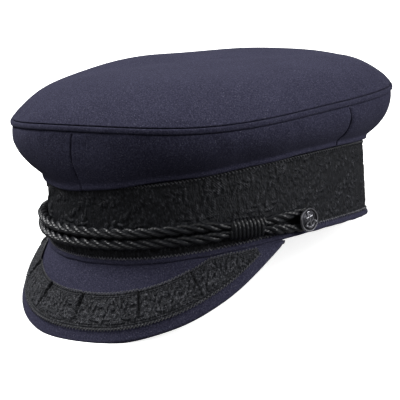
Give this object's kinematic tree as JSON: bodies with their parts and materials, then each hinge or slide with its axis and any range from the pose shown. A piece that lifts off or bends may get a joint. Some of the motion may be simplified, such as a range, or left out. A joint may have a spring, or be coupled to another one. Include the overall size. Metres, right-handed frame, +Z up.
{
  "type": "breton fisherman cap",
  "caption": "Wool fisherman's cap with a soft domed crown, an upright band in figured braid, a braided peak, and a twisted chin cord held by sliders and metal buttons.",
  "frame": {"origin": "middle of the bounding box's underside, on the surface that the cap rests on", "axes": "+Z up from the surface, the wearer faces -Y, +X is the wearer's left; the cap leans back as it rests on the rear of its hem and the front of its peak"},
  "size_m": [0.2058, 0.2618, 0.1326],
  "materials": {
    "wool": "matt navy wool cloth with a short nap",
    "braid": "black figured braid, slightly glossy threads",
    "cord": "black twisted rayon cord with a soft gloss",
    "metal": "dark pewter-coloured plating, satin"
  },
  "bodies": {
    "root": {"crown_top": "wool", "crown_welt": "wool", "crown_side_front_left": "wool", "crown_side_back_left": "wool", "crown_side_back_right": "wool", "crown_side_front_right": "wool", "head_band": "wool", "band_braid": "braid", "peak": "wool", "peak_braid": "braid", "chin_cord": "cord", "cord_slider_left": "cord", "cord_slider_right": "cord", "button_left": "metal", "button_right": "metal"}
  },
  "joints": []
}
